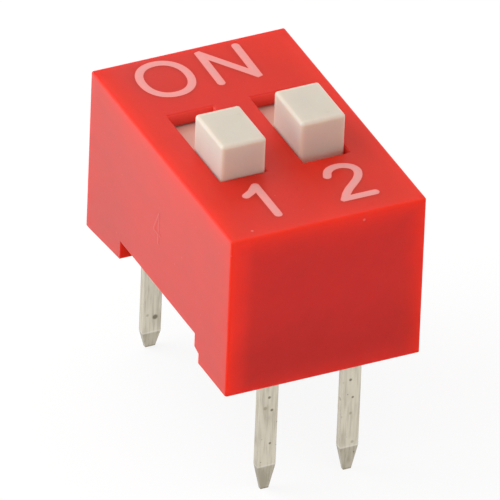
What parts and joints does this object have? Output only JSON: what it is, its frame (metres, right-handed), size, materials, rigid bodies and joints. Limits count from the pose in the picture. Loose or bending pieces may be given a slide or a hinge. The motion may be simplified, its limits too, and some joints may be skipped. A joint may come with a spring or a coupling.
{
  "type": "slide switch",
  "caption": "Through-hole DIP slide switch with side by side raised sliders in a red moulded cover, each sliding from OFF to ON.",
  "frame": {"origin": "middle of the four-lead pattern, on the board's surface under the cover's feet", "axes": "+Z away from the board, +Y from the numbers towards ON, +X from switch 1 to switch 2"},
  "size_m": [0.006, 0.0094, 0.0102],
  "materials": {
    "cover": "satin moulded",
    "base": "satin moulded",
    "slider": "satin moulded",
    "contact": "gold plated",
    "terminal": "tin plated, satin"
  },
  "bodies": {
    "housing": {"cover": "cover", "base": "base", "terminal_front_1": "terminal", "terminal_front_2": "terminal", "terminal_rear_1": "terminal", "terminal_rear_2": "terminal"},
    "slider_1": {"slider_1": "slider", "contact_spring_1": "contact"},
    "slider_2": {"slider_2": "slider", "contact_spring_2": "contact"}
  },
  "joints": [
    {"name": "slide_1", "type": "slide", "parent": "housing", "child": "slider_1", "axis": [0, 1, 0], "range_m": [0, 0.00168]},
    {"name": "slide_2", "type": "slide", "parent": "housing", "child": "slider_2", "axis": [0, 1, 0], "range_m": [-0.00025, 0.00143]}
  ]
}
